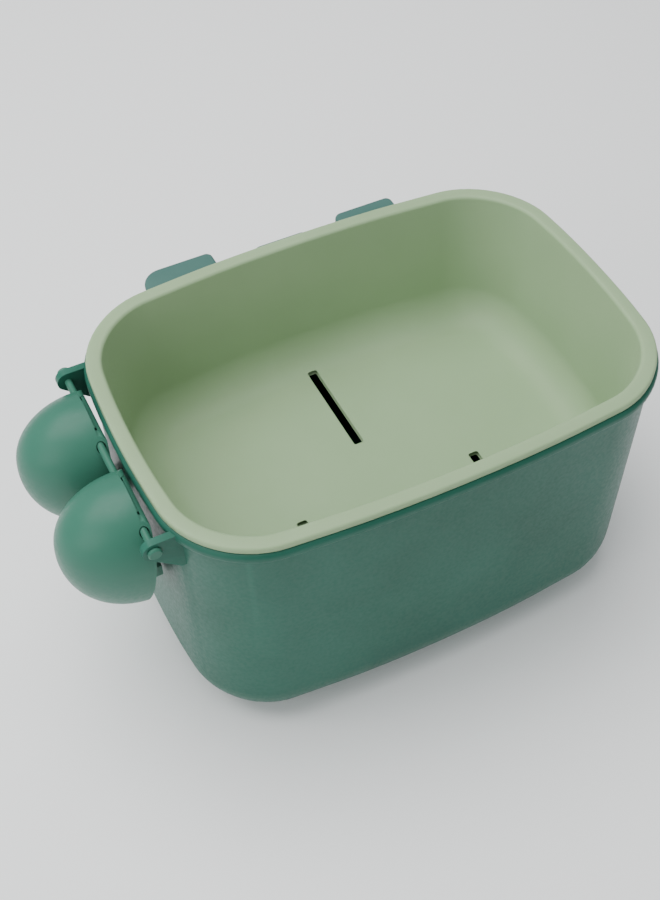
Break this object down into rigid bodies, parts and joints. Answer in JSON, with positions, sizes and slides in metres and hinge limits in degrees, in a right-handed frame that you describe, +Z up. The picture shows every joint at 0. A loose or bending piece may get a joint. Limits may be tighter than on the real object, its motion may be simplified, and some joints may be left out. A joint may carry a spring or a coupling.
{
  "type": "hang-on box with slotted tray",
  "caption": "Two-layer plastic box: a slotted lift-out tray in a deeper tub, with hooks on its back and swinging domed ears at one end.",
  "frame": {"origin": "centre of the tub's flat base", "axes": "+X along the long side away from the ears, +Y towards the hooks on the back, +Z up"},
  "size_m": [0.2579, 0.1692, 0.138],
  "materials": {
    "tub_plastic": "satin moulded polypropylene, dark green",
    "tray_plastic": "satin moulded polypropylene, light green",
    "ear_plastic": "satin moulded polypropylene, mid green",
    "hook_plastic": "satin moulded polypropylene, grey green",
    "steel": "plain steel screws"
  },
  "bodies": {
    "tub": {"outer_tub": "tub_plastic", "ear_pin": "ear_plastic", "pin_cap": "ear_plastic", "left_hook": "hook_plastic", "middle_hook": "hook_plastic", "right_hook": "hook_plastic", "hook_screws": "steel"},
    "tray": {"inner_tray": "tray_plastic"},
    "front_ear": {"front_ear_shell": "ear_plastic", "front_ear_back": "ear_plastic"},
    "back_ear": {"back_ear_shell": "ear_plastic", "back_ear_back": "ear_plastic"}
  },
  "joints": [
    {"name": "tray_lift", "type": "slide", "parent": "tub", "child": "tray", "axis": [0, 0, 1], "range_m": [0, 0.075]},
    {"name": "front_ear_swing", "type": "hinge", "parent": "tub", "child": "front_ear", "pos_m": [-0.115, -0.0231, 0.1295], "axis": [0, 1, 0], "range_deg": [0, 30]},
    {"name": "back_ear_swing", "type": "hinge", "parent": "tub", "child": "back_ear", "pos_m": [-0.115, 0.0231, 0.1295], "axis": [0, 1, 0], "range_deg": [0, 30]}
  ]
}
